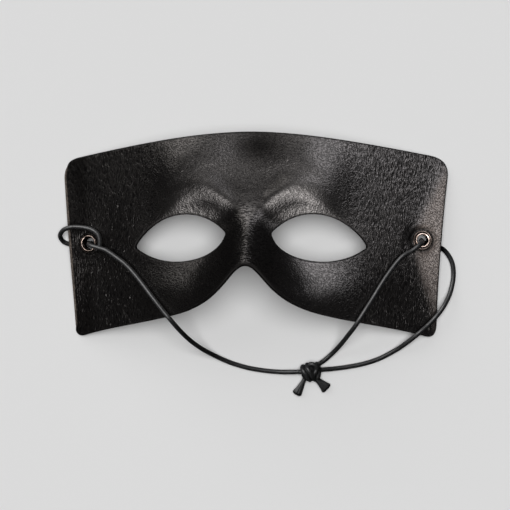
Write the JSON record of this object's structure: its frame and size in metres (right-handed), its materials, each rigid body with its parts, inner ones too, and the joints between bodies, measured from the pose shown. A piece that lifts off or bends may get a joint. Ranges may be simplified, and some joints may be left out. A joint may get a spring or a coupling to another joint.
{
  "type": "leather mask",
  "caption": "Moulded leather half mask for the upper face, with almond eye holes, an arched nose notch, a metal eyelet in each wing and a round elastic cord knotted below the nose.",
  "frame": {"origin": "middle of the leather shell's outline in X and Y, on the surface that the mask lies on", "axes": "+X to the right across the face as seen from its front, +Y up the face towards the brow, +Z out of the face, away from the surface below"},
  "size_m": [0.1945, 0.1281, 0.0508],
  "materials": {
    "leather": "black, coarse pebble grain with a waxed sheen, worn to warm grey on the right wing's outer band, with a raw brown-grey cut edge",
    "eyelet_metal": "rolled and polished, dark gunmetal with warm copper reflections",
    "elastic": "charcoal braided cover over a round elastic core, faint sheen, with dull burnt ends"
  },
  "bodies": {
    "root": {"mask_shell": "leather", "eyelet_left": "eyelet_metal", "eyelet_right": "eyelet_metal", "cord_left": "elastic", "cord_right_run": "elastic", "cord_right_loop": "elastic", "knot": "elastic"}
  },
  "joints": []
}
